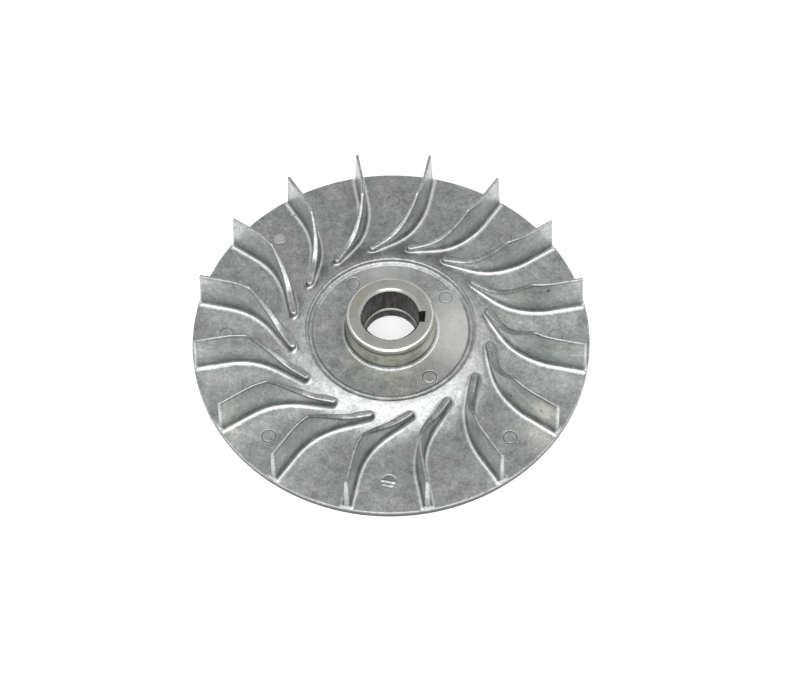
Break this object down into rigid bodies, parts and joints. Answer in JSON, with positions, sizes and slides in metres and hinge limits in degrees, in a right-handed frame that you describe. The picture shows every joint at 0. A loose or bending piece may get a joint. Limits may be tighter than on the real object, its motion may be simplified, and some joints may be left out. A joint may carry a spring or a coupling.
{
  "type": "flywheel",
  "caption": "Die-cast disc flywheel with curved radial cooling blades on one face, a raised ring round its centre and a cast-in steel hub with a keyed shaft bore.",
  "frame": {"origin": "on the shaft's axis, at the underside of the disc and hub", "axes": "+Z along the shaft's axis, towards the fan side; +X through the middle of the keyway; +Y completes the right-handed frame"},
  "size_m": [0.156, 0.156, 0.0213],
  "materials": {
    "cast_aluminium": "as-cast die-cast aluminium, satin grey with faint mottling",
    "hub_steel": "turned steel with a thin olive-yellow passivated film"
  },
  "bodies": {
    "root": {"fan_disc": "cast_aluminium", "hub_insert": "hub_steel", "fan_blade_01": "cast_aluminium", "fan_blade_02": "cast_aluminium", "fan_blade_03": "cast_aluminium", "fan_blade_04": "cast_aluminium", "fan_blade_05": "cast_aluminium", "fan_blade_06": "cast_aluminium", "fan_blade_07": "cast_aluminium", "fan_blade_08": "cast_aluminium", "fan_blade_09": "cast_aluminium", "fan_blade_10": "cast_aluminium", "fan_blade_11": "cast_aluminium", "fan_blade_12": "cast_aluminium", "fan_blade_13": "cast_aluminium", "fan_blade_14": "cast_aluminium", "fan_blade_15": "cast_aluminium", "fan_blade_16": "cast_aluminium"}
  },
  "joints": []
}
